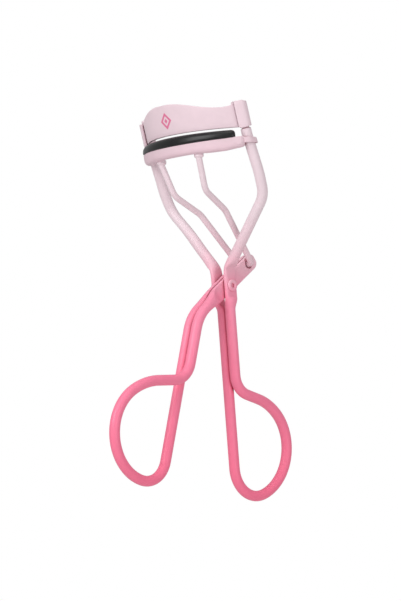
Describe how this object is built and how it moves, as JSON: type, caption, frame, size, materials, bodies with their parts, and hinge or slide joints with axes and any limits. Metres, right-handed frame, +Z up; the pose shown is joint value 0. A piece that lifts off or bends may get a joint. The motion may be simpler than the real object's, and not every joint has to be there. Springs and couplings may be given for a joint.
{
  "type": "eyelash curler",
  "caption": "Scissor-action eyelash curler of bent wire: finger-loop handles cross at a rivet and lift a sliding curved bar with a rubber pad against a fixed curved bar.",
  "frame": {"origin": "on the pivot's axis, in the middle of the rivet, at the bottom of its hollow end", "axes": "+X along the pivot towards the rivet's hollow end, +Z up the frame handle towards the bars, -Y the side the bars bulge to and the lever handle swings to"},
  "size_m": [0.0384, 0.0628, 0.1013],
  "materials": {
    "frame_paint": "satin, fading from hot pink at the handle to pale pink above the pivot",
    "lever_paint": "satin, fading from hot pink at the handle to pale pink at the blades",
    "bar_paint": "satin pale pink",
    "leg_paint": "satin pale pink",
    "rivet_paint": "satin pink",
    "pad_rubber": "smooth glossy black"
  },
  "bodies": {
    "frame": {"frame_wire": "frame_paint", "upper_bar": "bar_paint", "pivot_rivet": "rivet_paint"},
    "lever": {"lever_wire": "lever_paint"},
    "jaw": {"lower_bar": "bar_paint", "rubber_pad": "pad_rubber", "jaw_leg_right": "leg_paint", "jaw_leg_left": "leg_paint"}
  },
  "joints": [
    {"name": "lever_pivot", "type": "hinge", "parent": "frame", "child": "lever", "pos_m": [0, 0, 0], "axis": [1, 0, 0], "range_deg": [-38, 3.5]},
    {"name": "jaw_hook", "type": "hinge", "parent": "lever", "child": "jaw", "pos_m": [0, 0.00821, 0.0059], "axis": [1, 0, 0], "range_deg": [-3.5, 38]}
  ],
  "couplings": [
    {"joint": "jaw_hook", "follows": "lever_pivot", "ratio": -1}
  ]
}
